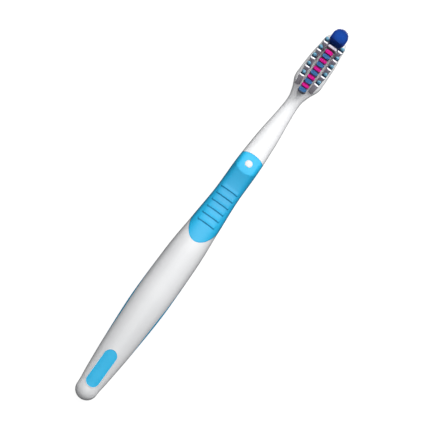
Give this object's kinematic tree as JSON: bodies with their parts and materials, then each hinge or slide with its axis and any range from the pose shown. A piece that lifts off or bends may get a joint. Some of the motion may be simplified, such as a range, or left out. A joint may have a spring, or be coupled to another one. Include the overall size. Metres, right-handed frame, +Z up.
{
  "type": "manual toothbrush",
  "caption": "Manual toothbrush lying on its back: tapered white handle, soft blue grips with cross ribs, and a flat head of coloured bristle tufts.",
  "frame": {"origin": "middle of the brush's length and width, on the surface that it lies on", "axes": "+X from the handle's tail to the head, +Y across the brush, +Z up along the bristles"},
  "size_m": [0.19, 0.016, 0.0208],
  "materials": {
    "handle_plastic": "gloss",
    "grip_rubber": "satin",
    "white_filament": "satin",
    "teal_filament": "satin",
    "pink_filament": "satin",
    "blue_filament": "satin",
    "navy_filament": "satin",
    "anchor_metal": "plain"
  },
  "bodies": {
    "root": {"handle": "handle_plastic", "front_grip": "grip_rubber", "rear_grip": "grip_rubber", "end_inlay": "grip_rubber", "tuft_white_left_1": "white_filament", "tuft_teal_left_1": "teal_filament", "tuft_white_right_1": "white_filament", "tuft_teal_right_1": "teal_filament", "tuft_blue_1": "blue_filament", "tuft_pink_1": "pink_filament", "tuft_white_left_2": "white_filament", "tuft_teal_left_2": "teal_filament", "tuft_white_right_2": "white_filament", "tuft_teal_right_2": "teal_filament", "tuft_blue_2": "blue_filament", "tuft_pink_2": "pink_filament", "tuft_white_left_3": "white_filament", "tuft_teal_left_3": "teal_filament", "tuft_white_right_3": "white_filament", "tuft_teal_right_3": "teal_filament", "tuft_blue_3": "blue_filament", "tuft_pink_3": "pink_filament", "tuft_white_left_4": "white_filament", "tuft_teal_left_4": "teal_filament", "tuft_white_right_4": "white_filament", "tuft_teal_right_4": "teal_filament", "tuft_blue_4": "blue_filament", "tuft_pink_4": "pink_filament", "tuft_white_left_5": "white_filament", "tuft_teal_left_5": "teal_filament", "tuft_white_right_5": "white_filament", "tuft_teal_right_5": "teal_filament", "tuft_blue_5": "blue_filament", "tuft_pink_5": "pink_filament", "tuft_bar": "white_filament", "tuft_crest": "navy_filament", "tuft_anchors": "anchor_metal"}
  },
  "joints": []
}
